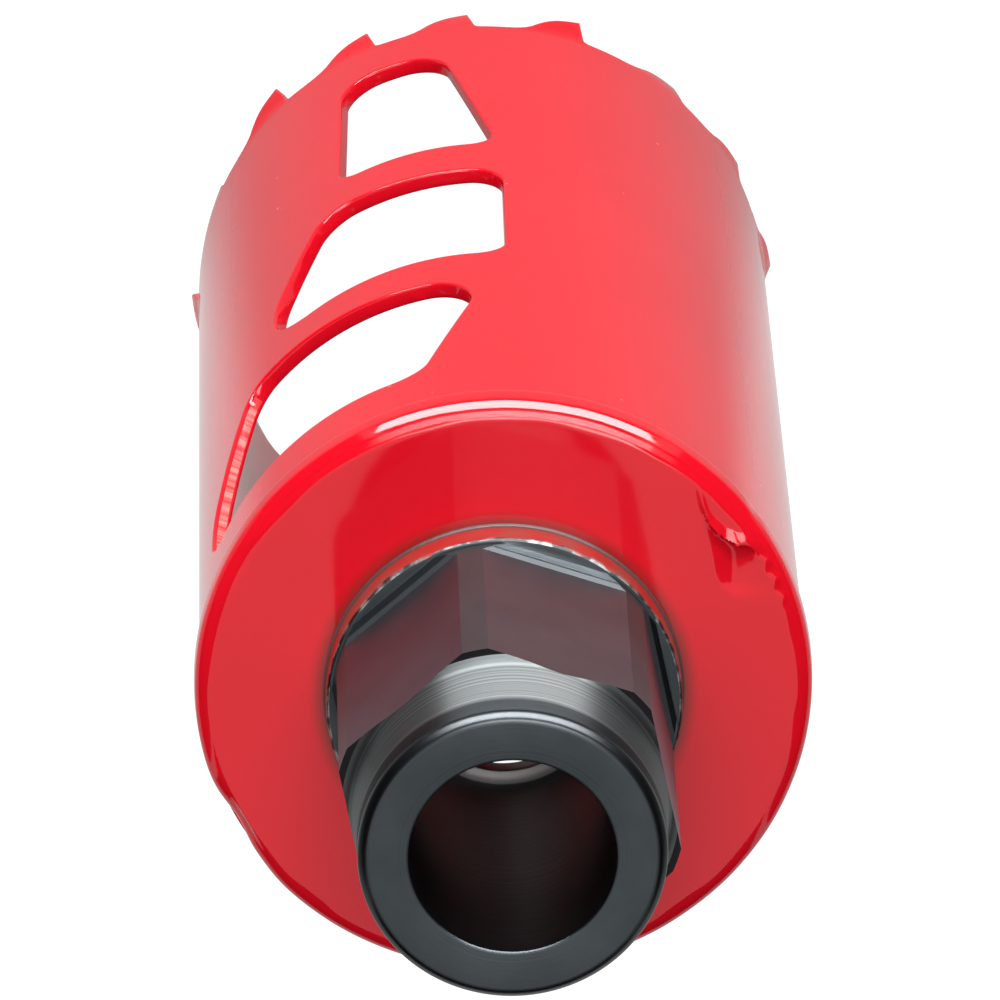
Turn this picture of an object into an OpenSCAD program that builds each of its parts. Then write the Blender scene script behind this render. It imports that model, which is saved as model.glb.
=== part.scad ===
// Deep-cut hole saw, painted and welded, with no moving parts.
// A strip with punched chip windows is rolled into a tube and its teeth are cut and set.
// A thin disc is welded on the blank end, and a turned and milled hub is welded on the disc.
// The saw stands on its teeth with the hub up. Z is the axis of rotation, and z = 0 is the
// plane of the tooth tips. The window columns face -Y and +Y.

/* [Tube] */
// Outside diameter of the rolled tube
tube_d = 33.8; // [32:0.2:40]
// Thickness of the strip that the tube is rolled from
wall = 0.95; // [0.8:0.05:1.4]
// Length from the tooth tips to the outer face of the base disc
tube_len = 64.5; // [63:0.1:80]
// How far the weld bead at the base stands proud of the tube
bead_proud = 0.32; // [0.1:0.01:0.5]
// Length of the tube that the weld bead covers, down from the disc's underside
bead_len = 2; // [1.4:0.05:3]
// Radius of the bead's round back, which runs up to the disc's edge
bead_round = 0.5; // [0.4:0.02:0.6]

/* [Teeth] */
// Number of teeth round the rim
tooth_count = 16; // [12:1:17]
// Depth of the gullets, from the tips up
tooth_h = 2.1; // [1.6:0.1:2.6]
// How far the cutting face's foot lies ahead of the tip
face_lead = 0.45; // [0.1:0.05:0.6]
// Radius between the cutting face and the gullet
gullet_round = 0.4; // [0.2:0.05:0.6]
// Length of the tooth's sloping land behind the tip
land_len = 2; // [1.4:0.1:2.4]
// How far the land has fallen at its heel
land_drop = 0.55; // [0.3:0.05:0.8]
// Distance from the tip back to where the tooth runs out in the next gullet
back_len = 4.3; // [3.8:0.1:4.6]
// Sideways set of a fully set tip
tooth_set = 0.6; // [0.2:0.02:0.8]

/* [Windows] */
// Sill of the window next to the base, below the base face
base_window_sill = 6.8; // [6:0.1:8]
// Height of the window next to the base
base_window_h = 14.2; // [12:0.1:15.5]
// Bar between the base window and the middle window
base_bar = 3.4; // [2.5:0.1:4]
// Height of the middle window
middle_window_h = 13.9; // [12:0.1:15]
// Bar between the middle window and the window next to the teeth
tooth_bar = 4; // [3:0.1:4.5]
// Height of the window next to the teeth
tooth_window_h = 15.7; // [14:0.1:16.6]

/* [Base disc] */
// Thickness of the disc
disc_t = 1.05; // [0.8:0.05:2]
// Rounding of the disc's outer edge beside the weld
disc_round = 0.5; // [0.2:0.02:0.7]
// How far the disc's edge lies inside the tube's outer face, which leaves room for the weld
disc_inset = 0.2; // [0.1:0.02:0.4]
// Diameter of the pilot hole in the disc
pilot_d = 9.5; // [8:0.1:11]

/* [Hub] */
// Diameter of the flange, which is welded on the disc
flange_d = 19.8; // [19.6:0.1:21]
// Thickness of the flange
flange_t = 1.85; // [1.5:0.05:3]
// Turned diameter that the hexagon's corners keep
corner_d = 19.2; // [18.8:0.05:19.5]
// Width of the hexagon across its flats
hex_af = 17.3; // [17.3:0.05:17.8]
// Fillet where each flat runs out at the flange
flat_fillet = 0.35; // [0.2:0.05:0.6]
// Height of the hub above the disc
hub_h = 23.3; // [22:0.1:28]
// Height above the disc of the shoulder where the hexagon ends
shoulder_h = 16.85; // [16:0.05:18]
// Width of the shoulder's flat ring at the corners
shoulder_w = 0.45; // [0.2:0.05:0.6]
// Hollow between the shoulder and the neck
shoulder_hollow = 0.35; // [0.2:0.05:0.4]
// Diameter of the neck at its foot
neck_d = 17.25; // [17.05:0.05:17.25]
// Length of the tapering neck
neck_len = 3.9; // [2.5:0.1:4]
// Width of the fine groove between the neck and the nose
groove_w = 0.25; // [0.1:0.05:0.4]
// Depth of that groove
groove_depth = 0.12; // [0.05:0.01:0.2]
// Diameter of the nose
nose_d = 16.8; // [16:0.1:17]
// Chamfer on the nose's outer edge
nose_chamfer = 0.3; // [0.1:0.05:0.6]
// Diameter of the through bore
bore_d = 11.2; // [11.1:0.1:13]
// Chamfer at the bore's mouth
bore_chamfer = 0.25; // [0.1:0.05:0.6]

/* [Hidden] */

paint = [0.86, 0.08, 0.1];
dark_steel = [0.26, 0.29, 0.31];

tube_r = tube_d / 2;
bore_of_tube_r = tube_r - wall;
bead_r = tube_r + bead_proud;
disc_r = tube_r - disc_inset;
disc_z = tube_len - disc_t;
root_z = tooth_h;

// Turn of the hexagon about Z, which puts a flat 19 degrees from -Y
hex_turn = 19;
// First tooth's tip, and the places of the rest, as shares of an uneven pitch
first_tip = -20;
pitch_pattern = [24.1, 23.4, 21.3, 20.5, 22.4, 24, 20.7, 22.5];
// Set of each tooth in turn, as a share of tooth_set: outwards above 0, inwards below it
set_pattern = [1, -0.4, 1, 0.6, 0, 1, -0.4, 0.2];

arc_steps = 8;
cut = 1;
// How far a window's cutter reaches past the wall on both sides
reach_past = 0.6;

function running_sum(v, n) = n == 0 ? 0 : v[(n - 1) % len(v)] + running_sum(v, n - 1);
pitch_total = running_sum(pitch_pattern, tooth_count);
function tip_angle(i) = first_tip - 360 * running_sum(pitch_pattern, i) / pitch_total;

// Points of an arc about c, from angle a0 to angle a1
function arc(c, r, a0, a1) =
    [for (k = [0:arc_steps]) let (a = a0 + (a1 - a0) * k / arc_steps) c + r * [cos(a), sin(a)]];

// A polygon's corners, each given as [x, y, radius], with every corner rounded by an arc
function unit(v) = v / norm(v);
function rounded_corner(a, b, c, r) =
    let (
        u = unit(a - b),
        v = unit(c - b),
        half = acos(u * v) / 2,
        centre = b + unit(u + v) * r / sin(half),
        from = b + u * r / tan(half) - centre,
        to = b + v * r / tan(half) - centre,
        a0 = atan2(from[1], from[0]),
        turn = atan2(from[0] * to[1] - from[1] * to[0], from * to)
    )
    arc(centre, r, a0, a0 + turn);
function xy(p) = [p[0], p[1]];
function rounded_outline(p) =
    [for (i = [0:len(p) - 1])
        let (before = p[(i + len(p) - 1) % len(p)], after = p[(i + 1) % len(p)])
        each p[i][2] == 0 ? [xy(p[i])] : rounded_corner(xy(before), xy(p[i]), xy(after), p[i][2])];

// An outline with every long side cut into short steps, so that it can follow the wall
function stepped(p, step) =
    [for (i = [0:len(p) - 1])
        let (q = p[(i + 1) % len(p)], n = ceil(norm(q - p[i]) / step))
        for (k = [0:n - 1]) p[i] + (q - p[i]) * k / n];

// A point of the flat strip, at x along it and h up it, after the strip is rolled
function rolled(p, r) = let (a = p[0] / tube_r * 180 / PI) [r * cos(a), r * sin(a), p[1]];

// A cutter through the wall whose sides all run to the axis, as in a strip that was
// punched flat and rolled afterwards
module rolled_cutter(corners) {
    outline = stepped(rounded_outline(corners), 1.6);
    n = len(outline);
    middle = [for (k = [0:1]) (min([for (p = outline) p[k]]) + max([for (p = outline) p[k]])) / 2];
    polyhedron(
        points = [
            for (p = outline) rolled(p, tube_r + reach_past),
            for (p = outline) rolled(p, bore_of_tube_r - reach_past),
            rolled(middle, tube_r * 1.5),
            rolled(middle, tube_r * 0.5)
        ],
        faces = [
            for (i = [0:n - 1]) [2 * n, i, (i + 1) % n],
            for (i = [0:n - 1]) [2 * n + 1, n + (i + 1) % n, n + i],
            for (i = [0:n - 1]) each [
                [i, n + i, (i + 1) % n],
                [(i + 1) % n, n + i, n + (i + 1) % n]
            ]
        ]
    );
}

// Heights of the three windows' sills above the tooth tips. A sill is the side next to
// the base, so each window reaches down from it.
base_sill_z = tube_len - base_window_sill;
middle_sill_z = base_sill_z - base_window_h - base_bar;
tooth_sill_z = middle_sill_z - middle_window_h - tooth_bar;

// Window corners on the flat strip: x along it, distance below the sill, corner radius
base_window = [
    [-2, 0, 2.3],
    [14.8, 0, 2.1],
    [14.6, 4.9, 8.7],
    [9.7, base_window_h + 0.2, 2.3],
    [-6.1, base_window_h - 0.8, 2.9]
];
middle_window = [
    [-7.25, 0, 1.75],
    [7.3, 0.1, 2.9],
    [7.45, 4.8, 8],
    [3.6, middle_window_h, 2.9],
    [-7.35, middle_window_h - 0.3, 2.1]
];
tooth_window = [
    [-7.15, 0, 1.45],
    [2.5, 0, 1.45],
    [2.1, tooth_window_h, 2.4],
    [-4.05, tooth_window_h, 2.9]
];

function hung(corners, sill_z) = [for (p = corners) [p[0], sill_z - p[1], p[2]]];

module window_column() {
    rolled_cutter(hung(base_window, base_sill_z));
    rolled_cutter(hung(middle_window, middle_sill_z));
    rolled_cutter(hung(tooth_window, tooth_sill_z));
}

// Half-section of the tube: a straight wall that carries the disc on its end, with the
// weld bead round the joint
module tube_section() {
    back_z = disc_z + disc_t * 0.1;
    polygon([
        [bore_of_tube_r, root_z],
        [tube_r, root_z],
        [tube_r, disc_z - bead_len],
        [tube_r + bead_proud * 0.35, disc_z - bead_len * 0.55],
        [tube_r + bead_proud * 0.85, disc_z - bead_len * 0.2],
        each arc([bead_r - bead_round, back_z], bead_round, 0, 75),
        [disc_r, back_z + bead_round * sin(75)],
        [disc_r, disc_z],
        [bore_of_tube_r, disc_z]
    ]);
}

// Outline of one tooth on the flat strip, with its tip at x = 0 and its back towards +X
tooth_front = face_lead + 1.2 * gullet_round;
module tooth_outline(overlap) {
    polygon(rounded_outline([
        [-tooth_front, tooth_h + overlap, 0],
        [-tooth_front, tooth_h, 0],
        [-face_lead, tooth_h, gullet_round],
        [0, 0, 0],
        [land_len, land_drop, 1.4],
        [back_len - 0.9, tooth_h, 1.6],
        [back_len, tooth_h, 0],
        [back_len, tooth_h + overlap, 0]
    ]));
}

// One tooth, cut from the wall and bent about its root. side is its share of the full set.
tooth_middle = (back_len - tooth_front) / 2;
module tooth(side) {
    overlap = 0.2;
    lean = asin(side * tooth_set / tooth_h);
    translate([tube_r - wall / 2, 0, root_z])
        rotate([0, -lean, 0])
            translate([wall / 2 - tube_r, 0, -root_z])
                intersection() {
                    difference() {
                        cylinder(r = tube_r, h = root_z + overlap, $fn = 180);
                        translate([0, 0, -cut])
                            cylinder(r = bore_of_tube_r, h = root_z + overlap + 2 * cut, $fn = 180);
                    }
                    translate([tube_r - 3 * wall, -tooth_middle, 0])
                        rotate([90, 0, 90])
                            linear_extrude(4 * wall)
                                tooth_outline(overlap);
                }
}

module toothed_tube() {
    to_middle = tooth_middle / tube_r * 180 / PI;
    color(paint) {
        difference() {
            rotate_extrude($fn = 180) tube_section();
            for (side = [-90, 90]) rotate([0, 0, side]) window_column();
        }
        // The tips are ground off level at z = 0
        for (i = [0:tooth_count - 1])
            intersection() {
                rotate([0, 0, tip_angle(i) + to_middle])
                    tooth(set_pattern[i % len(set_pattern)]);
                cylinder(r = tube_r + 2 * wall, h = tube_len / 2);
            }
    }
}

module base_disc() {
    color(paint)
        translate([0, 0, disc_z])
            difference() {
                rotate_extrude($fn = 180)
                    polygon([
                        [0, 0],
                        [disc_r, 0],
                        each arc([disc_r - disc_round, disc_t - disc_round], disc_round, 0, 90),
                        [0, disc_t]
                    ]);
                translate([0, 0, -cut]) cylinder(d = pilot_d, h = disc_t + 2 * cut, $fn = 96);
            }
}

// Half-section of the hub as it leaves the lathe, before the flats are milled
module hub_section() {
    ring_r = corner_d / 2 - shoulder_w;
    neck_z = shoulder_h + shoulder_hollow;
    groove_z = neck_z + neck_len;
    polygon([
        [bore_d / 2, 0],
        [flange_d / 2, 0],
        [flange_d / 2, flange_t],
        [corner_d / 2, flange_t],
        [corner_d / 2, shoulder_h],
        [ring_r, shoulder_h],
        each hollow([neck_d / 2, neck_z], [ring_r, shoulder_h]),
        [nose_d / 2, groove_z - groove_w / 2],
        [nose_d / 2 - groove_depth, groove_z],
        [nose_d / 2, groove_z + groove_w / 2],
        [nose_d / 2, hub_h - nose_chamfer],
        [nose_d / 2 - nose_chamfer, hub_h],
        [bore_d / 2 + bore_chamfer, hub_h],
        [bore_d / 2, hub_h - bore_chamfer]
    ]);
}

// A quarter hollow from the shoulder's ring up to the neck's foot
function hollow(top, ring) =
    [for (k = [1:4])
        let (a = 90 * k / 4)
        [top[0] + (ring[0] - top[0]) * (1 - sin(a)), top[1] + (ring[1] - top[1]) * cos(a)]];

// What the mill takes off for one flat, with the cutter's corner radius at the flange
module flat_cut() {
    reach = flange_d / 2 + cut;
    rotate([90, 0, 0])
        translate([0, 0, -flange_d / 2])
            linear_extrude(flange_d)
                polygon([
                    [reach, flange_t],
                    each arc([hex_af / 2 + flat_fillet, flange_t + flat_fillet], flat_fillet, 270, 180),
                    [hex_af / 2, hub_h + cut],
                    [reach, hub_h + cut]
                ]);
}

module drive_hub() {
    color(dark_steel)
        translate([0, 0, tube_len])
            difference() {
                rotate_extrude($fn = 180) hub_section();
                for (i = [0:5]) rotate([0, 0, hex_turn - 90 + 60 * i]) flat_cut();
            }
}

toothed_tube();
base_disc();
drive_hub();
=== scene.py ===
# Deep-cut hole saw, standing on its teeth with the hub up. The sections follow the bench: the
# strip is punched, toothed and rolled, the disc is laid on its end and welded round, the
# turned hub is welded on the disc, and all but the hub above its flange is painted.
import math

import bmesh
import bpy
from mathutils import Matrix, Vector


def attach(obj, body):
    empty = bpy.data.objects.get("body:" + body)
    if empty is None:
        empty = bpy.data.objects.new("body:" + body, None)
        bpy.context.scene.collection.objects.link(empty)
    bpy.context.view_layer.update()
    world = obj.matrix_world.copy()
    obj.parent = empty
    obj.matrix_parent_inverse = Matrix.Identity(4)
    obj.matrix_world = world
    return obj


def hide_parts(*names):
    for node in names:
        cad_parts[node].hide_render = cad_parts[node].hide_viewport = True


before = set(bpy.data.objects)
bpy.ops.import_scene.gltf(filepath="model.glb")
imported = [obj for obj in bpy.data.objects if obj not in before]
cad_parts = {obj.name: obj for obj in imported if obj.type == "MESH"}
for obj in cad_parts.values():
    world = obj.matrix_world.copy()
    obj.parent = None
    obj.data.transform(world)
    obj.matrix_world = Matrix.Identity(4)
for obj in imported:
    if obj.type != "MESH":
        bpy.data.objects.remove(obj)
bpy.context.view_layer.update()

# Rolled tube
# A strip of sheet steel, 0.95 mm thick, with the chip windows punched and the teeth cut
# while it is flat. The teeth are set out and in with a setting tool, and the strip is then
# rolled until its ends meet, and welded where they meet.
MM = 0.001
TUBE_R, WALL, STRIP_TOP, EDGE_ROUND = 16.9, 0.95, 63.45, 0.17
SEAM_AZIMUTH = 18.8

# The tips are spaced unevenly. Pitches and sets repeat after eight teeth, and the pitches are
# stretched to close the circle. A set is a share of TOOTH_SET, outwards if above zero
TEETH, FIRST_TIP, TOOTH_DEPTH, TOOTH_SET = 16, -20, 2.1, 0.6
PITCHES = (24.1, 23.4, 21.3, 20.5, 22.4, 24.0, 20.7, 22.5)
ALL_PITCHES = 357.8
SETS = (1, -0.4, 1, 0.6, 0, 1, -0.4, 0.2)
# A tooth's corners as (along from the tip, height, radius): cutting face, tip, land, gullet.
# Between two places along from its tip it is bent, over lines at these heights
TOOTH = ((-0.45, TOOTH_DEPTH, 0.4), (0, 0, 0), (2, 0.55, 3.6), (3.4, TOOTH_DEPTH, 2))
TOOTH_FROM, TOOTH_TO = -1.05, 4.3
BEND_LINES = (1.1, 1.4, 1.7, 2.0, 2.3, 2.6)

# The windows' corners as (along, down from the window's top, radius)
WINDOW_TOPS = (57.7, 40.1, 22.2)
BASE_WINDOW = ((-2, 0, 2.3), (14.8, 0, 2.1), (14.6, 4.9, 8.7), (9.7, 14.4, 2.3), (-6.1, 13.4, 2.9))
MIDDLE_WINDOW = ((-7.25, 0, 1.75), (7.3, 0.1, 2.9), (7.45, 4.8, 8), (3.6, 13.9, 2.9),
                 (-7.35, 13.6, 2.1))
TOOTH_WINDOW = ((-7.15, 0, 1.45), (2.5, 0, 1.45), (2.1, 15.7, 2.4), (-4.05, 15.7, 2.9))

# In millimetres: the longest step round a corner, how much too long the strip is at each end
# until it is cut square, and the height that the tips are ground to
CORNER_STEP, LEFT_OVER, GROUND = 0.25, 1, 0.001
# The columns that the strip is divided into, so that it can be rolled
COLUMNS = 240
# In metres: points this near a cut are on it, and points this near each other are merged
HAIR, TOUCHING = 1e-7, 1e-6


def along(azimuth):
    """How far along the flat strip an azimuth lies, from the middle of the front windows."""
    return math.radians(azimuth + 90) * TUBE_R


def azimuth_of(place):
    return math.degrees(math.atan2(place.y, place.x))


def rounded(corners):
    """The outline through corners given as (x, height, radius), each corner rounded."""
    outline = []
    for i, (x, y, radius) in enumerate(corners):
        here = Vector((x, y))
        if not radius:
            outline.append(here)
            continue
        u = (Vector(corners[i - 1][:2]) - here).normalized()
        v = (Vector(corners[(i + 1) % len(corners)][:2]) - here).normalized()
        half = math.acos(u.dot(v)) / 2
        centre = here + (u + v).normalized() * radius / math.sin(half)
        a = here + u * radius / math.tan(half) - centre
        b = here + v * radius / math.tan(half) - centre
        start = math.atan2(a.y, a.x)
        turn = math.atan2(a.x * b.y - a.y * b.x, a.dot(b))
        steps = max(8, round(radius * abs(turn) / CORNER_STEP))
        for k in range(steps + 1):
            angle = start + turn * k / steps
            outline.append(centre + radius * Vector((math.cos(angle), math.sin(angle))))
    return outline


def take(piece):
    """Selects one piece alone, for the operators that follow."""
    bpy.ops.object.select_all(action="DESELECT")
    piece.select_set(True)
    bpy.context.view_layer.objects.active = piece


def pick(test):
    """Selects the points that pass the test, in the mesh that is being edited."""
    bpy.ops.mesh.select_mode(type="VERT")
    bpy.ops.mesh.select_all(action="DESELECT")
    edited = bmesh.from_edit_mesh(bpy.context.object.data)
    for vert in edited.verts:
        vert.select_set(bool(test(vert)))
    edited.select_flush_mode()
    bmesh.update_edit_mesh(bpy.context.object.data)


def cut(at, square_to, **what_goes):
    """Cuts the whole mesh that is being edited, by a plane through a place in millimetres."""
    bpy.ops.mesh.select_all(action="SELECT")
    bpy.ops.mesh.bisect(plane_co=[c * MM for c in at], plane_no=square_to, threshold=HAIR,
                        **what_goes)


tip_azimuths = [FIRST_TIP - sum(PITCHES[k % 8] for k in range(i)) * 360 / ALL_PITCHES
                for i in range(TEETH)]
tips = sorted((along(a if a > SEAM_AZIMUTH - 360 else a + 360), SETS[i % 8])
              for i, a in enumerate(a % -360 for a in tip_azimuths))
strip_ends = along(SEAM_AZIMUTH - 360), along(SEAM_AZIMUTH)

edge = [(strip_ends[0] - LEFT_OVER, STRIP_TOP, 0), (strip_ends[0] - LEFT_OVER, TOOTH_DEPTH, 0)]
for x, _ in tips:
    edge += [(x + step, height, radius) for step, height, radius in TOOTH]
edge += [(strip_ends[1] + LEFT_OVER, TOOTH_DEPTH, 0), (strip_ends[1] + LEFT_OVER, STRIP_TOP, 0)]
outlines = [rounded(edge)]
for column in (0, -math.pi * TUBE_R):
    for window, top in zip((BASE_WINDOW, MIDDLE_WINDOW, TOOTH_WINDOW), WINDOW_TOPS):
        outlines.append(rounded([(x + column, top - down, r) for x, down, r in window]))

strip_curve = bpy.data.curves.new("rolled_tube", "CURVE")
strip_curve.dimensions = "2D"
strip_curve.fill_mode = "BOTH"
strip_curve.extrude = (WALL / 2 - EDGE_ROUND) * MM
strip_curve.bevel_depth = EDGE_ROUND * MM
strip_curve.bevel_resolution = 2
strip_curve.offset = -EDGE_ROUND * MM
for outline in outlines:
    spline = strip_curve.splines.new("POLY")
    spline.points.add(len(outline) - 1)
    for point, place in zip(spline.points, outline):
        point.co = (place.x * MM, place.y * MM, 0, 1)
    spline.use_cyclic_u = True
tube = bpy.data.objects.new("rolled_tube", strip_curve)
bpy.context.scene.collection.objects.link(tube)
take(tube)
bpy.ops.object.convert(target="MESH")
tube.rotation_euler = (math.radians(90), 0, 0)
tube.location = (0, WALL / 2 * MM, 0)
bpy.ops.object.transform_apply(location=True, rotation=True, scale=True)

# The ends are cut square, and the faces divided into columns that can be rolled
bpy.ops.object.mode_set(mode="EDIT")
bpy.ops.mesh.select_all(action="SELECT")
bpy.ops.mesh.remove_doubles(threshold=TOUCHING)
for end, gone in zip(strip_ends, ("clear_inner", "clear_outer")):
    cut((end, 0, 0), (1, 0, 0), **{gone: True})
bpy.ops.mesh.select_all(action="SELECT")
bpy.ops.mesh.dissolve_limited(angle_limit=math.radians(0.5))
bpy.ops.mesh.select_all(action="SELECT")
bpy.ops.mesh.quads_convert_to_tris(quad_method="BEAUTY", ngon_method="BEAUTY")
for k in range(1, COLUMNS):
    cut((strip_ends[0] + (strip_ends[1] - strip_ends[0]) * k / COLUMNS, 0, 0), (1, 0, 0))

# The teeth are bent out and in over the bend lines near their roots, the line at the tip
# first, and then ground to one level
for level in BEND_LINES:
    cut((0, 0, level), (0, 0, 1))
for x, share in tips:
    lean = math.asin(share * TOOTH_SET / TOOTH_DEPTH)
    if not lean:
        continue
    for level in BEND_LINES:
        pick(lambda v: (x + TOOTH_FROM) * MM < v.co.x < (x + TOOTH_TO) * MM
             and v.co.z < (level - 0.01) * MM)
        bpy.ops.transform.rotate(value=lean / len(BEND_LINES), orient_axis="X",
                                 center_override=(x * MM, WALL / 2 * MM, level * MM))
cut((0, 0, GROUND), (0, 0, 1), clear_inner=True, use_fill=True)

# What only one end of the strip has goes, so that the ends meet point to point
edited = bmesh.from_edit_mesh(tube.data)
first, last = ({v.index: (round(v.co.y / MM, 3), round(v.co.z / MM, 3)) for v in edited.verts
                if abs(v.co.x - end * MM) < HAIR} for end in strip_ends)
loose = {i for ours, theirs in ((first, last), (last, first))
         for i, spot in ours.items() if spot not in theirs.values()}
pick(lambda v: v.index in loose)
bpy.ops.mesh.dissolve_verts()
bpy.ops.mesh.select_all(action="SELECT")
bpy.ops.mesh.normals_make_consistent(inside=False)
bpy.ops.object.mode_set(mode="OBJECT")

# The shading is worked out on the flat strip, where its faces are true, and rolled with it
bpy.ops.object.shade_smooth_by_angle(angle=math.radians(40))
weigh = tube.modifiers.new("weigh", "WEIGHTED_NORMAL")
weigh.keep_sharp = True
bpy.ops.object.modifier_apply(modifier="weigh")
flat_shading = tube.data.attributes.new("flat_shading", "FLOAT_VECTOR", "CORNER")
flat_shading.data.foreach_set("vector", [c for corner in tube.data.corner_normals
                                         for c in corner.vector])

roll = tube.modifiers.new("roll", "SIMPLE_DEFORM")
roll.deform_method = "BEND"
roll.deform_axis = "Z"
roll.angle = 2 * math.pi
bpy.ops.object.modifier_apply(modifier="roll")
tube.location = (0, -TUBE_R * MM, 0)
bpy.ops.object.transform_apply(location=True, rotation=False, scale=False)
bpy.ops.object.mode_set(mode="EDIT")
bpy.ops.mesh.select_all(action="SELECT")
bpy.ops.mesh.remove_doubles(threshold=TOUCHING)
bpy.ops.mesh.dissolve_limited(angle_limit=math.radians(0.3))
bpy.ops.mesh.normals_make_consistent(inside=False)
bpy.ops.object.mode_set(mode="OBJECT")

# Above the bent teeth the wall is truly round, and is shaded so where a corner is on it
ROUND_FROM, ON_WALL = 2.7, 0.004
corners = []
for loop, flat in zip(tube.data.loops, tube.data.attributes["flat_shading"].data):
    place = tube.data.vertices[loop.vertex_index].co
    rolled = Matrix.Rotation(math.atan2(place.y, place.x) + math.pi / 2, 3, "Z")
    facing = rolled @ Vector(flat.vector)
    out = Vector((place.x, place.y, 0)).normalized()
    radius = math.hypot(place.x, place.y) / MM
    off_wall = min(abs(radius - TUBE_R), abs(radius - TUBE_R + WALL))
    if place.z > ROUND_FROM * MM and off_wall < ON_WALL and abs(facing.dot(out)) > 0.8:
        facing = out * math.copysign(1, facing.dot(out))
    corners.append(facing)
tube.data.normals_split_custom_set(corners)
tube.data.attributes.remove(tube.data.attributes["flat_shading"])


def new_finish(name):
    """A material, and the shader in it that the other nodes feed."""
    finish = bpy.data.materials.new(name)
    finish.use_nodes = True
    return finish, finish.node_tree.nodes["Principled BSDF"]


def add_node(finish, kind, feeds, **options):
    """Adds a node. What feeds each of its inputs is a value or another node's output."""
    made = finish.node_tree.nodes.new("ShaderNode" + kind)
    for option, value in options.items():
        setattr(made, option, value)
    for name, feed in feeds.items():
        if isinstance(feed, bpy.types.NodeSocket):
            finish.node_tree.links.new(feed, made.inputs[name])
        else:
            made.inputs[name].default_value = feed
    return made


def place_on(finish):
    """Where on the piece the finish is."""
    coordinates = finish.node_tree.nodes.get("Texture Coordinate")
    return (coordinates or add_node(finish, "TexCoord", {})).outputs["Object"]


def height_on(finish):
    return add_node(finish, "SeparateXYZ", {0: place_on(finish)}).outputs["Z"]


def radius_on(finish):
    """How far from the axis the finish is."""
    level = add_node(finish, "VectorMath", {0: place_on(finish), 1: (1, 1, 0)},
                     operation="MULTIPLY")
    reach = add_node(finish, "VectorMath", {0: level.outputs[0]}, operation="LENGTH")
    return reach.outputs["Value"]


def noise(finish, scale, detail, place=None, **more):
    place = place or place_on(finish)
    feeds = {"Scale": scale, "Detail": detail, "Vector": place, **more}
    return add_node(finish, "TexNoise", feeds).outputs["Fac"]


def reckoned(finish, operation, *feeds):
    """One step of arithmetic."""
    return add_node(finish, "Math", dict(enumerate(feeds)), operation=operation).outputs[0]


def ranged(finish, feed, start, end, low=0, high=1, **options):
    """From low, where the feed is at start, to high at end, and level beyond them."""
    feeds = {"Value": feed, "From Min": start, "From Max": end, "To Min": low, "To Max": high}
    return add_node(finish, "MapRange", feeds, **options).outputs["Result"]


def ramped(finish, feed, *stops):
    """A colour between two stops, given as (where the feed is there, colour)."""
    ramp = add_node(finish, "ValToRGB", {"Fac": feed})
    for element, (at, colour) in zip(ramp.color_ramp.elements, stops):
        element.position = at
        element.color = (*colour, 1)
    return ramp.outputs["Color"]


def colour_of(finish):
    """What colours the finish so far."""
    shader = finish.node_tree.nodes["Principled BSDF"]
    return shader.inputs["Base Color"].links[0].from_socket


def mix_colour(finish, share, first, second):
    """Colours the finish, with all of the second colour where the share is 1."""
    mix = add_node(finish, "Mix", {0: share, 6: first, 7: second}, data_type="RGBA")
    shader = finish.node_tree.nodes["Principled BSDF"]
    finish.node_tree.links.new(mix.outputs[2], shader.inputs["Base Color"])


def add_relief(finish, height, depth, strength=1):
    """Lays a relief, its depth in metres, over any that the finish has."""
    links = finish.node_tree.links
    normal = finish.node_tree.nodes["Principled BSDF"].inputs["Normal"]
    bump = add_node(finish, "Bump", {"Height": height, "Distance": depth, "Strength": strength})
    if normal.is_linked:
        links.new(normal.links[0].from_socket, bump.inputs["Normal"])
    links.new(bump.outputs["Normal"], normal)


# Gloss enamel, dipped and baked, with a slight orange peel and a few grains under the film
paint, enamel = new_finish("red_gloss_enamel")
enamel.inputs["Roughness"].default_value = 0.07
enamel.inputs["IOR"].default_value = 1.45
depth = ramped(paint, noise(paint, 60, 3),
               (0.35, (0.62, 0.0036, 0.0125)), (0.65, (0.66, 0.0046, 0.0155)))
grains = add_node(paint, "TexVoronoi", {"Scale": 420, "Vector": place_on(paint)})
cell = add_node(paint, "SeparateColor", {"Color": grains.outputs["Color"]})
chosen = reckoned(paint, "GREATER_THAN", cell.outputs["Red"], 0.6)
speck = reckoned(paint, "MULTIPLY", chosen, ranged(paint, grains.outputs["Distance"], 0.05, 0.03))
mix_colour(paint, speck, depth, (0.75, 0.13, 0.11, 1))
add_relief(paint, noise(paint, 700, 2), 0.01 * MM, 0.15)

# On the base window's side the cut wall has pale rippled bands along its middle: painted reflection
ripple_painted_reflection = paint.copy()
ripple_painted_reflection.name = "enamel_with_painted_ripple_reflection"
middle = reckoned(ripple_painted_reflection, "COMPARE", radius_on(ripple_painted_reflection), (TUBE_R - WALL / 2) * MM, 0.24 * MM)
up_only = add_node(ripple_painted_reflection, "CombineXYZ", {"Z": height_on(ripple_painted_reflection)}).outputs[0]
reflection_bands = ranged(ripple_painted_reflection, noise(ripple_painted_reflection, 1900, 2, up_only), 0.44, 0.56, 0.15, 0.8)
mix_colour(ripple_painted_reflection, reckoned(ripple_painted_reflection, "MULTIPLY", reflection_bands, middle), colour_of(ripple_painted_reflection),
           (0.85, 0.30, 0.27, 1))

tube.data.materials.clear()
tube.data.materials.append(paint)
tube.data.materials.append(ripple_painted_reflection)
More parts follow.
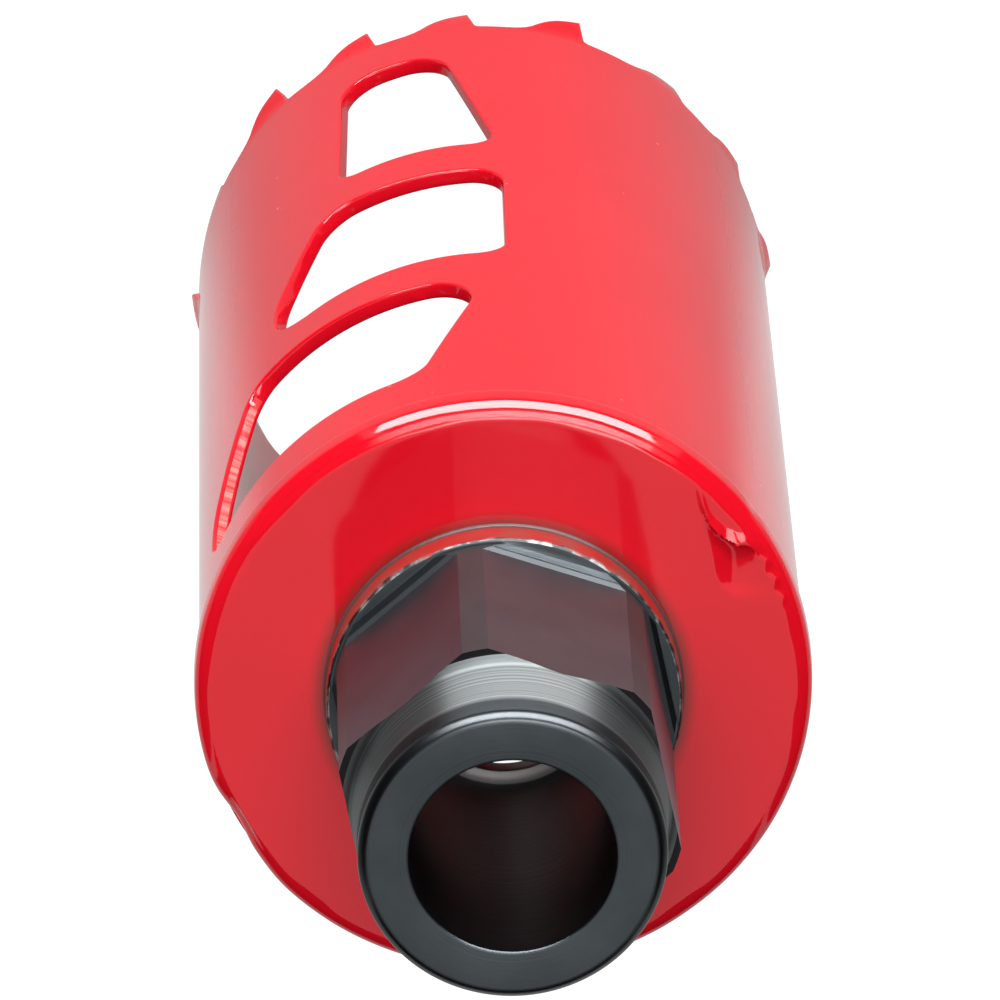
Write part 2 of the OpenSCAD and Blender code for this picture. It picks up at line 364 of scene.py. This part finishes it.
# The cut wall's faces here take the copy of the enamel with the painted reflection
REFLECTION_HEIGHTS, REFLECTION_AZIMUTHS = (43.4, 57), (-57.5, -36)
for face in tube.data.polygons:
    centre = Vector(face.center) / MM
    on_side = abs(face.normal.xy.dot(centre.xy.normalized())) < 0.5
    if (on_side and REFLECTION_HEIGHTS[0] < centre.z < REFLECTION_HEIGHTS[1]
            and REFLECTION_AZIMUTHS[0] < azimuth_of(centre) < REFLECTION_AZIMUTHS[1]):
        face.material_index = 1
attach(tube, "root")
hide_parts("toothed_tube")

# Base disc and its weld
# A thin disc pressed from sheet, with a pilot hole, lies on the end of the tube. A bead of
# filler is run round the joint, and the paint closes the line between bead and disc.
DISC_TOP, DISC_T, PILOT_R, CHAMFER = 64.5, 1.05, 4.75, 0.1
DISC_SIDES, DISC_R = 540, 16.45
BARE_TO, CORNER_TO = 5.62, 11.6


def turned(name, section, sides, start=0):
    """A ring or shell turned from its half-section, given as (radius, height) all round.

    Its first side starts that share of a side round."""
    bpy.ops.object.select_all(action="DESELECT")
    bpy.ops.mesh.primitive_circle_add(vertices=sides, radius=section[0][0] * MM,
                                      location=(0, 0, section[0][1] * MM),
                                      rotation=(0, 0, 2 * math.pi * start / sides))
    piece = bpy.context.object
    piece.name = piece.data.name = name
    bpy.ops.object.transform_apply(location=True, rotation=True, scale=True)
    bpy.ops.object.mode_set(mode="EDIT")
    bpy.ops.mesh.select_all(action="SELECT")
    for (r0, z0), (r1, z1) in zip(section, section[1:] + section[:1]):
        bpy.ops.mesh.extrude_region_move(TRANSFORM_OT_translate={"value": (0, 0, (z1 - z0) * MM)})
        bpy.ops.transform.resize(value=(r1 / r0, r1 / r0, 1), center_override=(0, 0, z1 * MM))
    bpy.ops.mesh.select_all(action="SELECT")
    bpy.ops.mesh.remove_doubles(threshold=TOUCHING)
    bpy.ops.mesh.normals_make_consistent(inside=False)
    bpy.ops.object.mode_set(mode="OBJECT")
    return piece


def swept(start, turns):
    """A half-section from runs of (first tilt, last tilt, length), a tilt being how far the
    surface faces up there, in degrees."""
    radius, height = start
    section = [start]
    for first, last, length in turns:
        steps = max(2, round(length / 0.045))
        for k in range(steps):
            tilt = math.radians(first + (last - first) * (k + 0.5) / steps)
            radius -= math.sin(tilt) * length / steps
            height += math.cos(tilt) * length / steps
            section.append((radius, height))
    return section


# The bead starts on the wall, swells out and closes on the disc. Five small swings in its
# crown spread the light there
BEAD_START, BEAD_INSIDE = (16.88, 61.78), (DISC_R, 61.5)
foot = [(0, -38, 0.15), (-38, -38, 0.27), (-38, 0, 0.35), (0, 5, 0.92)]
crown = [(5, 41, 0.18), (41, 49, 0.5), (49, 60, 0.06), (60, 60, 0.09)]
crown += [(57, 43, 0.035), (43, 57, 0.035)] * 5 + [(60, 90, 0.33)]
bead = swept(BEAD_START, foot + crown)
widest = len(swept(BEAD_START, foot)) - 1
lift = DISC_TOP - bead[-1][1]
rim = bead[-1][0]
bead_edge, bead_depth = bead[widest][0], bead[-1][1] - bead[widest][1]

# Near the bead the disc's face has rings a tenth of a millimetre apart, for the weld's marks
under = DISC_TOP - DISC_T
section = [(PILOT_R, DISC_TOP - CHAMFER), (PILOT_R, under), (9, under), (15.9, under),
           (DISC_R, under - 0.2), BEAD_INSIDE]
section += [(r, z + lift) for r, z in bead] + [(rim - 0.1 * k, DISC_TOP) for k in range(1, 38)]
section += [(r, DISC_TOP) for r in (CORNER_TO, 10.8, 10, 9, BARE_TO, PILOT_R + CHAMFER)]
disc = turned("base_disc_and_weld", section, DISC_SIDES)

# The bead isn't even: it ends in a crater with a molten lip, one place is left unfilled and
# another is notched. right and ahead run over the disc, as a welder who faces the windows
# would see them, and the tables give the edge of the crater and of the lip along them
FRONT, GAP, NOTCH = -113, 5.5, -167
RIGHT = Vector((math.cos(math.radians(157.5)), math.sin(math.radians(157.5))))
AHEAD = Vector((math.cos(math.radians(FRONT)), math.sin(math.radians(FRONT))))
CRATER_EDGE = ((5.6, 12.75), (5.89, 12.47), (6.41, 11.92), (7.01, 11.71), (8.06, 11.54),
               (8.65, 11.41), (9.67, 11.19), (10.26, 11.03), (11.2, 10.95))
LIP_EDGE = ((10.75, 11.75), (10.94, 11.1), (11.2, 10.2), (11.58, 9.58), (12.22, 9.07),
            (12.94, 8.65), (13.58, 8.61), (14.1, 8.1), (14.9, 7.9))
CRATER_SLOPE, CRATER_DEEPEST, RIPPLE, LIP_RISE, LIP_BACK = 0.2, 12.75, 0.12, 0.27, 0.13
MARKS_FROM, MARKS_ABOVE, BEAD_FOOT, BEFORE_BEAD = 11, 62, 16.3, 1.3


def between(points, at):
    """The value at a place in a table of (place, value), and the nearest end's outside it."""
    if at <= points[0][0]:
        return points[0][1]
    for (a, first), (b, last) in zip(points, points[1:]):
        if at <= b:
            return first + (last - first) * (at - a) / (b - a)
    return points[-1][1]


def eased(value):
    """A share from 0 to 1 that starts and ends gently."""
    value = min(max(value, 0), 1)
    return value * value * (3 - 2 * value)


def apart(azimuth, other):
    """The degrees between two azimuths."""
    return abs((azimuth - other + 180) % 360 - 180)


def push_out(place, azimuth, far):
    place.x += far * math.cos(math.radians(azimuth))
    place.y += far * math.sin(math.radians(azimuth))


for vert in disc.data.vertices:
    place = Vector(vert.co) / MM
    radius = math.hypot(place.x, place.y)
    if place.z < MARKS_ABOVE or radius < MARKS_FROM:
        continue
    azimuth = azimuth_of(place)
    right, ahead = place.xy.dot(RIGHT), place.xy.dot(AHEAD)
    # a slow unevenness of the bead
    turn = math.radians(azimuth)
    uneven = 0.016 * math.sin(turn * 9 + 1) + 0.012 * math.sin(turn * 23)
    rise = uneven * eased((radius - 16.05) / 0.3)
    # away from the windows' side the joint is filled, and the bead's back is one even curve
    if rim < radius < bead_edge + 0.001 and place.z > DISC_TOP - bead_depth - 0.001:
        across = min((radius - rim) / (bead_edge - rim), 1)
        even = DISC_TOP - bead_depth * (1 - math.sqrt(1 - across * across))
        rise += eased((apart(azimuth, FRONT) - 48) / 12) * (even - place.z)
    if 10 < right < 16 and 4.5 < ahead < 12.5:
        # crater: from a sharp edge it falls evenly to the right, and comes up beneath the bead
        start = between(CRATER_EDGE, ahead)
        bead_at = math.sqrt(BEAD_FOOT ** 2 - ahead ** 2)
        deepest = min(CRATER_DEEPEST, bead_at - BEFORE_BEAD)
        fall = CRATER_SLOPE * max(min(right, deepest) - start, 0)
        fall *= 1 - min(max(right - deepest, 0) / (bead_at - deepest), 1)
        crater = eased((ahead - 5.2) / 0.9)
        rise -= fall * crater
        ripple = RIPPLE * math.sin(turn * 86) * eased((radius - 15.5) / 0.6)
        ripple *= 1 - eased((radius - 16.45) / 0.3)
        ripple *= eased((ahead - 4.7) / 0.8) * (1 - eased((ahead - 8) / 0.6))
        push_out(place, azimuth, ripple)
        # molten lip over the crater's upper end: a ridge that falls back towards the bead
        over = ahead - between(LIP_EDGE, right)
        if over > 0:
            ridge = eased(over / LIP_BACK) * (1 - min(max(over - LIP_BACK, 0) / 0.75, 1))
            ends = eased((right - 10.7) / 0.4) * eased((14.1 - right) / 0.8)
            rise += (LIP_RISE + 0.05 * math.sin(5.5 * right)) * ridge * ends
            rise += fall * eased(over / LIP_BACK) * crater
    # the unfilled place, and a lesser one beside it
    if -14 < azimuth < 32:
        gap = math.exp(-((azimuth - GAP) / 6.2) ** 2) + 0.25 * math.exp(-((azimuth - 15) / 5) ** 2)
        push_out(place, azimuth, -0.42 * gap * eased((radius - 16.0) / 0.9))
        rise -= 0.12 * gap * eased((radius - 16.3) / 0.4)
    notch = 0.06 * math.exp(-((azimuth - NOTCH) / 2.2) ** 2) * eased((radius - 16.6) / 0.4)
    push_out(place, azimuth, -notch)
    place.z += rise
    vert.co = place * MM
bpy.ops.object.shade_smooth_by_angle(angle=math.radians(50))

# Where a tool cut steel, its marks run round the axis or along a flat. They are given as
# (scale, depth in metres), the fine ones first
BORE_MARKS = ((16000, 8e-6), (3000, 1e-5))


def steel_finish(name, colour, roughness, marks, along_flat=False, stretch=0, metallic=1):
    """Dark steel with its tool marks, and the sheen that they stretch round the axis."""
    steel, metal = new_finish(name)
    metal.inputs["Metallic"].default_value = metallic
    metal.inputs["Roughness"].default_value = roughness
    if along_flat:
        run = add_node(steel, "VectorMath", {0: place_on(steel), 1: (1, 1, 0.06)},
                       operation="MULTIPLY")
    else:
        run = add_node(steel, "CombineXYZ", {"X": radius_on(steel), "Z": height_on(steel)})
    if stretch:
        metal.inputs["Anisotropic"].default_value = stretch
        metal.inputs["Anisotropic Rotation"].default_value = 0.25
        round_axis = add_node(steel, "VectorMath", {0: (0, 0, 1), 1: place_on(steel)},
                              operation="CROSS_PRODUCT")
        even = add_node(steel, "VectorMath", {0: round_axis.outputs[0]}, operation="NORMALIZE")
        steel.node_tree.links.new(even.outputs[0], metal.inputs["Tangent"])
    for scale, depth in marks:
        add_relief(steel, noise(steel, scale, 1, run.outputs[0]), depth)
    tint = ramped(steel, noise(steel, 260, 4), (0.3, [c * 0.86 for c in colour]),
                  (0.7, [c * 1.1 for c in colour]))
    steel.node_tree.links.new(tint, metal.inputs["Base Color"])
    return steel


# No paint reaches the disc in the bore. In the corner at the hub's flange the enamel is darkened
# towards the flange: painted shade
ledge_steel = steel_finish("ledge_steel", (0.16, 0.15, 0.15), 0.45, BORE_MARKS)
corner_painted_shade = paint.copy()
corner_painted_shade.name = "enamel_with_painted_corner_shade"
painted_shade_share = ranged(corner_painted_shade, radius_on(corner_painted_shade), 9.7 * MM, 11 * MM,
              interpolation_type="SMOOTHSTEP")
mix_colour(corner_painted_shade, painted_shade_share, (0.15, 0.014, 0.010, 1), colour_of(corner_painted_shade))
for finish in (paint, ledge_steel, corner_painted_shade):
    disc.data.materials.append(finish)
for face in disc.data.polygons:
    radius = math.hypot(face.center.x, face.center.y)
    if radius < BARE_TO * MM:
        face.material_index = 1
    elif radius < CORNER_TO * MM and face.center.z > (DISC_TOP - CHAMFER) * MM:
        face.material_index = 2
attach(disc, "root")
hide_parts("base_disc")

# Drive hub
# One length of dark bar, turned outside and in, with six flats milled down to the flange
# for the driver. Its flange is welded on the disc, and the paint covers the flange's side.
HUB_Z, HUB_SIDES, BORE_R = DISC_TOP, 210, 5.6
FLANGE_TOP, SHOULDER, NECK_TOP, NOSE_EDGE = 1.85, 16.85, 20.9, 22.75
# The half-section as (radius, height over the disc): foot, flange, bar, shoulder, neck, nose
HUB_SECTION = ((BORE_R, 0), (10.04, 0.003), (9.98, 0.025), (9.94, 0.06), (9.91, 0.11),
               (9.9, 0.18), (9.9, 1), (9.9, 1.6), (9.885, 1.7), (9.85, 1.78), (9.79, 1.83),
               (9.72, FLANGE_TOP), (9.6, FLANGE_TOP), (9.6, SHOULDER), (9.2, SHOULDER),
               (9.0, 16.88), (8.84, 16.96), (8.73, 17.09), (8.66, 17.25), (8.62, 17.45),
               (8.335, 20.4), (8.327, 20.52), (8.332, 20.64), (8.348, 20.8), (8.37, 20.95),
               (8.39, 21.1), (8.4, 21.3), (8.4, 22.74), (8.388, 22.83), (8.35, 22.91),
               (8.285, 22.985), (8.21, 23.06), (8.135, 23.135), (8.055, 23.205),
               (7.96, 23.258), (7.85, 23.29), (7.74, 23.3), (5.8, 23.3), (5.68, 23.27),
               (5.61, 23.2), (BORE_R, 23.1), (BORE_R, 12))
FLATS = [-71 + 60 * side for side in range(6)]
HALF_ACROSS, MILL_THICK, MILL_WIDE = 8.65, 6, 24
# The cutter's worn corner leaves a stepped run-out, as (height, how far out it stays there)
RUN_OUT = ((FLANGE_TOP, 0.5), (2.07, 0.22), (2.18, 0.21), (2.39, 0))
RUN_OUT_TOP = RUN_OUT[-1][0]

hub = turned("milled_hub", [(r, HUB_Z + z) for r, z in HUB_SECTION], HUB_SIDES, start=0.43)
for azimuth in FLATS:
    bpy.ops.object.select_all(action="DESELECT")
    bpy.ops.mesh.primitive_cube_add(size=1)
    mill = bpy.context.object
    mill.scale = (MILL_THICK * MM, MILL_WIDE * MM, MILL_WIDE * MM)
    mill.location = ((HALF_ACROSS + MILL_THICK / 2) * MM, 0,
                     (HUB_Z + FLANGE_TOP + MILL_WIDE / 2) * MM)
    bpy.ops.object.transform_apply(location=True, rotation=True, scale=True)
    bpy.ops.object.mode_set(mode="EDIT")
    for level, _ in RUN_OUT[1:]:
        cut((0, 0, HUB_Z + level), (0, 0, 1))
    for level, out in RUN_OUT[:-1]:
        pick(lambda v: v.co.x < (HALF_ACROSS + 0.05) * MM
             and abs(v.co.z - (HUB_Z + level) * MM) < 0.01 * MM)
        bpy.ops.transform.translate(value=(out * MM, 0, 0))
    bpy.ops.object.mode_set(mode="OBJECT")
    mill.rotation_euler = (0, 0, math.radians(azimuth))
    bpy.ops.object.transform_apply(location=True, rotation=True, scale=True)
    flat = hub.modifiers.new("flat", "BOOLEAN")
    flat.operation = "DIFFERENCE"
    flat.solver = "EXACT"
    flat.object = mill
    take(hub)
    bpy.ops.object.modifier_apply(modifier="flat")
    bpy.data.objects.remove(mill)
bpy.ops.object.shade_smooth_by_angle(angle=math.radians(24))

LATHE_MARKS = ((16000, 8e-6), (3000, 1.2e-5))
NECK_RINGS = ((14000, 1.2e-5), (6500, 3e-5))
MILL_MARKS = ((9000, 5e-6), (1500, 4e-6))
turned_steel = steel_finish("dark_turned_steel", (0.058, 0.067, 0.073), 0.34, LATHE_MARKS)
neck_steel = steel_finish("turned_neck", (0.05, 0.058, 0.062), 0.42, NECK_RINGS, stretch=1)
# All six flats are milled alike. Their colours are painted reflection: a mauve tint of the red disc
# on most, and a bluer, more metallic copy on the two side flats
flat_steel_painted_reflection = steel_finish("milled_flats_with_painted_reflection", (0.068, 0.053, 0.059), 0.5, MILL_MARKS,
                            along_flat=True, metallic=0.45)
side_flat_painted_reflection = steel_finish("side_flats_with_painted_reflection", (0.08, 0.092, 0.108), 0.42, MILL_MARKS,
                           along_flat=True, metallic=0.8)
bar_skin = steel_finish("bar_skin", (0.052, 0.054, 0.058), 0.5, MILL_MARKS,
                        along_flat=True, metallic=0.5)
bright_cut = steel_finish("bright_run_out", (0.04, 0.046, 0.052), 0.4, MILL_MARKS,
                          along_flat=True, metallic=0.5)
rubbed_edge = steel_finish("rubbed_edge", (0.06, 0.066, 0.07), 0.3, LATHE_MARKS)
black_oxide = steel_finish("black_oxide", (0.018, 0.018, 0.02), 0.4, BORE_MARKS)

# The neck was turned bare, in coarse rings, up to the nose
up_only = add_node(neck_steel, "CombineXYZ", {"Z": height_on(neck_steel)}).outputs[0]
ring_colour = ramped(neck_steel, noise(neck_steel, 5200, 2, up_only),
                     (0.38, (0.10, 0.11, 0.112)), (0.62, (0.27, 0.29, 0.29)))
turned_to = ranged(neck_steel, height_on(neck_steel), (HUB_Z + NECK_TOP) * MM,
                   (HUB_Z + NECK_TOP + 0.5) * MM)
mix_colour(neck_steel, turned_to, ring_colour, colour_of(neck_steel))

# Near the flange the flats are grey and blotchy: a painted reflection
patchy = reckoned(flat_steel_painted_reflection, "MULTIPLY_ADD", noise(flat_steel_painted_reflection, 500, 3), 2.2 * MM,
                  height_on(flat_steel_painted_reflection))
painted_grey_reflection = ranged(flat_steel_painted_reflection, patchy, (HUB_Z + 3.3) * MM, (HUB_Z + 4.6) * MM,
                interpolation_type="SMOOTHSTEP")
mix_colour(flat_steel_painted_reflection, painted_grey_reflection, (0.056, 0.062, 0.069, 1), colour_of(flat_steel_painted_reflection))

# The flange's side was painted with the disc. It is darker at its foot, in the corner with the
# disc, and a driver has worn the paint off its edge, where the knocked steel shows
worn, skin = new_finish("enamel_worn_off_the_edge")
ragged = noise(worn, 900, 4, Roughness=0.65)
raised = reckoned(worn, "MULTIPLY_ADD", ragged, 0.7 * MM, height_on(worn))
bare = ranged(worn, raised, (HUB_Z + 2.0) * MM, (HUB_Z + 2.1) * MM)
worn.node_tree.links.new(bare, skin.inputs["Metallic"])
worn.node_tree.links.new(ranged(worn, bare, 0, 1, 0.3, 0.38), skin.inputs["Roughness"])
dusty = ramped(worn, noise(worn, 350, 5), (0.42, (0.42, 0.022, 0.018)), (0.66, (0.26, 0.07, 0.055)))
above_the_foot = ranged(worn, height_on(worn), (HUB_Z + 0.1) * MM, (HUB_Z + 0.4) * MM,
               interpolation_type="SMOOTHSTEP")
knocked = ramped(worn, noise(worn, 1300, 3), (0.45, (0.10, 0.10, 0.10)), (0.62, (0.48, 0.47, 0.47)))
mix_colour(worn, above_the_foot, (0.10, 0.045, 0.045, 1), dusty)
mix_colour(worn, bare, colour_of(worn), knocked)
add_relief(worn, ragged, 0.04 * MM)


def hub_finish(face):
    """Which finish a face of the hub has, by where its centre lies."""
    centre = Vector(face.center) / MM
    radius = math.hypot(centre.x, centre.y)
    height = centre.z - HUB_Z
    nearest = min(range(6), key=lambda k: apart(azimuth_of(centre), FLATS[k]))
    off = math.radians(azimuth_of(centre) - FLATS[nearest])
    on_flat = radius * math.cos(off) < 9.16 and radius < 9.59 and face.normal.z < 0.9
    on_shoulder = SHOULDER - 0.01 < height < SHOULDER + 0.006 and radius > 9
    if radius < BORE_R + 0.1 and height < 23.2 or on_shoulder:
        return black_oxide
    if radius > 9.7 and height < FLANGE_TOP - 0.01:
        return worn
    if NOSE_EDGE < height < 23.29 and radius > 7.7:
        return rubbed_edge
    if 2.1 < height < RUN_OUT_TOP + 0.01 and on_flat:
        return bright_cut
    if SHOULDER + 0.006 < height < NOSE_EDGE and radius > 8:
        return neck_steel
    # the two side flats take the bluer copy with its painted reflection
    if RUN_OUT_TOP < height < SHOULDER + 0.05 and on_flat:
        return side_flat_painted_reflection if nearest in (0, 4) else flat_steel_painted_reflection
    if FLANGE_TOP + 0.01 < height < SHOULDER - 0.01 and radius > 9.5:
        return bar_skin
    return turned_steel


hub_finishes = [turned_steel, neck_steel, flat_steel_painted_reflection, side_flat_painted_reflection, black_oxide, worn, bar_skin,
                bright_cut, rubbed_edge]
hub.data.materials.clear()
for finish in hub_finishes:
    hub.data.materials.append(finish)
for face in hub.data.polygons:
    face.material_index = hub_finishes.index(hub_finish(face))
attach(hub, "root")
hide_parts("drive_hub")

# Table, lamps and camera
# The saw stands on a white table under a strip lamp at its windowed side, in a white room
# with black cards round it, as for a photograph of anything glossy.
bpy.ops.object.select_all(action="DESELECT")
bpy.ops.mesh.primitive_plane_add(size=6, location=(0, 0, 0))
table_top = bpy.context.object
table_top.name = "table_top"


def ray_is(finish, *kinds):
    """1 for a ray that is one of these kinds."""
    ray = add_node(finish, "LightPath", {})
    total = ray.outputs[kinds[0]]
    for kind in kinds[1:]:
        total = reckoned(finish, "MAXIMUM", total, ray.outputs[kind])
    return total


# The camera sees the table white. Mirrored, it is darker on the windows' side of the saw
TO_FRONT = (-0.391, -0.921, 0)
white, matt = new_finish("white_table")
matt.inputs["Base Color"].default_value = (0.8, 0.8, 0.8, 1)
matt.inputs["Roughness"].default_value = 0.9
matt.inputs["Specular IOR Level"].default_value = 0
front = add_node(white, "VectorMath", {0: place_on(white), 1: TO_FRONT}, operation="DOT_PRODUCT")
fall = ranged(white, front.outputs["Value"], -4 * MM, 10 * MM, 0.6, 0.26,
              interpolation_type="SMOOTHSTEP")
mirrored = reckoned(white, "MULTIPLY", ray_is(white, "Is Glossy Ray", "Is Transmission Ray"), fall)
shown = reckoned(white, "ADD", ray_is(white, "Is Camera Ray"), mirrored)
glow = add_node(white, "Emission", {"Strength": shown})
seen = ray_is(white, "Is Camera Ray", "Is Glossy Ray", "Is Transmission Ray")
dark = add_node(white, "Emission", {"Strength": 0})
faint = add_node(white, "MixShader", {0: ranged(white, seen, 0, 1, 1, 0.2), 1: dark.outputs[0],
                                      2: matt.outputs[0]})
both = add_node(white, "AddShader", {0: glow.outputs[0], 1: faint.outputs[0]})
surface = white.node_tree.nodes["Material Output"].inputs["Surface"]
white.node_tree.links.new(both.outputs[0], surface)
table_top.data.materials.append(white)

room = bpy.data.worlds.new("white_room")
bpy.context.scene.world = room
room.use_nodes = True
seen = ray_is(room, "Is Camera Ray", "Is Glossy Ray", "Is Transmission Ray")
sky = room.node_tree.nodes["Background"]
sky.inputs["Color"].default_value = (1, 1, 1, 1)
room.node_tree.links.new(ranged(room, seen, 0, 1, 0.36, 1), sky.inputs["Strength"])

# The cards are parts of a round shell between two azimuths, up to a height in degrees
CARDS = (("card_left", -76, 20, 66), ("card_right", -254, -158, 66),
         ("card_front", -159, -75, 54), ("card_back", 19, 107, 54))
black, card_face = new_finish("black_card")
card_face.inputs["Base Color"].default_value = (0.01, 0.01, 0.01, 1)
card_face.inputs["Specular IOR Level"].default_value = 0
for name, first, last, top in CARDS:
    bpy.ops.object.select_all(action="DESELECT")
    bpy.ops.mesh.primitive_uv_sphere_add(segments=72, ring_count=36, radius=1)
    card = bpy.context.object
    card.name = name
    bpy.ops.object.mode_set(mode="EDIT")
    pick(lambda v: not -0.1 < v.co.z < math.sin(math.radians(top))
         or not any(first <= azimuth_of(v.co) + turn <= last for turn in (0, -360)))
    bpy.ops.mesh.delete(type="VERT")
    bpy.ops.object.mode_set(mode="OBJECT")
    card.data.materials.append(black)
    card.visible_camera = card.visible_diffuse = card.visible_shadow = False


LAMPS_FACE = Vector((0, 0, 0.06))


def box_lamp(name, azimuth, elevation, distance, width, height, power, mirrored=True, lights=True):
    """A soft box that faces the saw, and may be only mirrored or only light it."""
    lamp_data = bpy.data.lights.new(name, "AREA")
    lamp_data.shape = "RECTANGLE"
    lamp_data.size, lamp_data.size_y = width, height
    lamp_data.energy = power
    lamp = bpy.data.objects.new(name, lamp_data)
    bpy.context.scene.collection.objects.link(lamp)
    azimuth, elevation = math.radians(azimuth), math.radians(elevation)
    way = Vector((math.cos(azimuth) * math.cos(elevation), math.sin(azimuth) * math.cos(elevation),
                  math.sin(elevation)))
    lamp.location = way * distance + LAMPS_FACE
    lamp.rotation_mode = "QUATERNION"
    lamp.rotation_quaternion = way.to_track_quat("Z", "Y")
    lamp.visible_camera = False
    lamp.visible_glossy, lamp.visible_diffuse = mirrored, lights


box_lamp("strip_lamp", -114, 22, 0.6, 0.84, 0.1, 4.9, mirrored=False)
box_lamp("strip_lamp_mirrored", -117, 22, 0.57, 0.8, 0.15, 8, lights=False)
box_lamp("top_box", -95, 68, 0.72, 0.42, 0.3, 2.2, mirrored=False)
box_lamp("top_box_mirrored", -128, 68, 0.66, 0.4, 0.28, 2.3, lights=False)

# The camera looks down on the hub from close to the axis, through a long lens
camera_data = bpy.data.cameras.new("camera")
camera_data.lens = 486.036
camera_data.sensor_width = 36
camera_data.clip_start, camera_data.clip_end = 0.05, 20
camera = bpy.data.objects.new("camera", camera_data)
bpy.context.scene.collection.objects.link(camera)
camera.location = (-0.09655823, -0.27093073, 0.75654501)
camera.rotation_euler = [math.radians(a) for a in (-21.72529410, -1.19129638, 157.47463866)]
bpy.context.scene.camera = camera
bpy.context.scene.view_settings.view_transform = "Standard"
